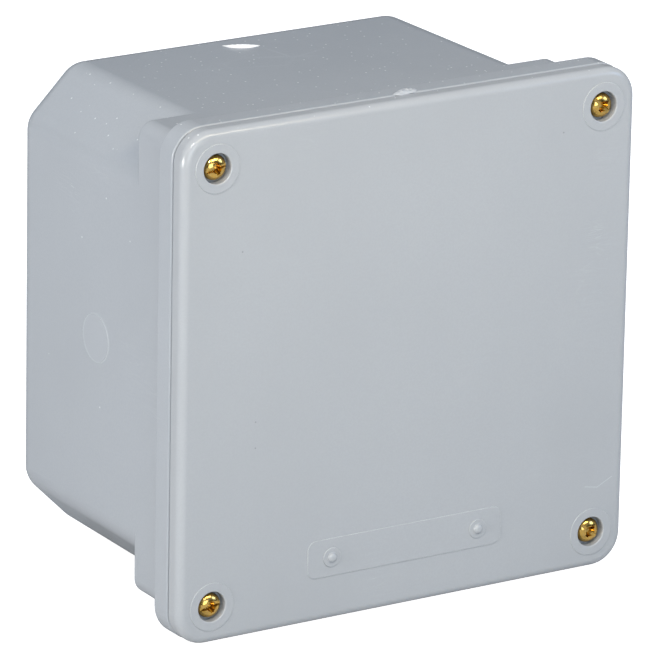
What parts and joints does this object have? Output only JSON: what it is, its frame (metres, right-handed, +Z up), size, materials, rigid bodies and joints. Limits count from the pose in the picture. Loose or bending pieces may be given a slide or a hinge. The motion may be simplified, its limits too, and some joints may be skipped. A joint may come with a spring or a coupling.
{
  "type": "electrical junction box",
  "caption": "Square grey plastic junction box with cut-off rear corners, a flanged rim, and a gasketed screw-down cover with recessed brass screws.",
  "frame": {"origin": "centre of the flat back face, which goes against the wall", "axes": "+X to the right as seen from the front, +Y into the wall, +Z up; the cover faces -Y"},
  "size_m": [0.1748, 0.119, 0.1748],
  "materials": {
    "body_plastic": "satin moulded rigid plastic, cool light grey",
    "cover_plastic": "satin moulded rigid plastic, cool light grey",
    "gasket_rubber": "soft foam rubber",
    "retainer_nylon": "natural nylon",
    "screw_brass": "bright polished",
    "insert_brass": "machined"
  },
  "bodies": {
    "box": {"box_body": "body_plastic", "threaded_insert_top_left": "insert_brass", "foot_insert_top_left": "insert_brass", "threaded_insert_top_right": "insert_brass", "foot_insert_top_right": "insert_brass", "threaded_insert_bottom_right": "insert_brass", "foot_insert_bottom_right": "insert_brass", "threaded_insert_bottom_left": "insert_brass", "foot_insert_bottom_left": "insert_brass"},
    "lid": {"cover": "cover_plastic", "cover_gasket": "gasket_rubber"},
    "ring_top_left": {"screw_retainer_top_left": "retainer_nylon"},
    "screw_top_left": {"cover_screw_top_left": "screw_brass"},
    "ring_top_right": {"screw_retainer_top_right": "retainer_nylon"},
    "screw_top_right": {"cover_screw_top_right": "screw_brass"},
    "ring_bottom_right": {"screw_retainer_bottom_right": "retainer_nylon"},
    "screw_bottom_right": {"cover_screw_bottom_right": "screw_brass"},
    "ring_bottom_left": {"screw_retainer_bottom_left": "retainer_nylon"},
    "screw_bottom_left": {"cover_screw_bottom_left": "screw_brass"}
  },
  "joints": [
    {"name": "cover_lift", "type": "slide", "parent": "box", "child": "lid", "axis": [0, -1, 0], "range_m": [0, 0.12]},
    {"name": "screw_advance_top_left", "type": "slide", "parent": "lid", "child": "ring_top_left", "axis": [0, -1, 0], "range_m": [0, 0.0074]},
    {"name": "screw_turn_top_left", "type": "hinge", "parent": "ring_top_left", "child": "screw_top_left", "pos_m": [-0.0745, -0.1025, 0.0745], "axis": [0, -1, 0], "range_deg": [0, 2520]},
    {"name": "screw_advance_top_right", "type": "slide", "parent": "lid", "child": "ring_top_right", "axis": [0, -1, 0], "range_m": [0, 0.0074]},
    {"name": "screw_turn_top_right", "type": "hinge", "parent": "ring_top_right", "child": "screw_top_right", "pos_m": [0.0745, -0.1025, 0.0745], "axis": [0, -1, 0], "range_deg": [0, 2520]},
    {"name": "screw_advance_bottom_right", "type": "slide", "parent": "lid", "child": "ring_bottom_right", "axis": [0, -1, 0], "range_m": [0, 0.0074]},
    {"name": "screw_turn_bottom_right", "type": "hinge", "parent": "ring_bottom_right", "child": "screw_bottom_right", "pos_m": [0.0745, -0.1025, -0.0745], "axis": [0, -1, 0], "range_deg": [0, 2520]},
    {"name": "screw_advance_bottom_left", "type": "slide", "parent": "lid", "child": "ring_bottom_left", "axis": [0, -1, 0], "range_m": [0, 0.0074]},
    {"name": "screw_turn_bottom_left", "type": "hinge", "parent": "ring_bottom_left", "child": "screw_bottom_left", "pos_m": [-0.0745, -0.1025, -0.0745], "axis": [0, -1, 0], "range_deg": [0, 2520]}
  ],
  "couplings": [
    {"joint": "screw_turn_top_left", "follows": "screw_advance_top_left", "rad_per_m": 5936.9},
    {"joint": "screw_turn_top_right", "follows": "screw_advance_top_right", "rad_per_m": 5936.9},
    {"joint": "screw_turn_bottom_right", "follows": "screw_advance_bottom_right", "rad_per_m": 5936.9},
    {"joint": "screw_turn_bottom_left", "follows": "screw_advance_bottom_left", "rad_per_m": 5936.9}
  ]
}
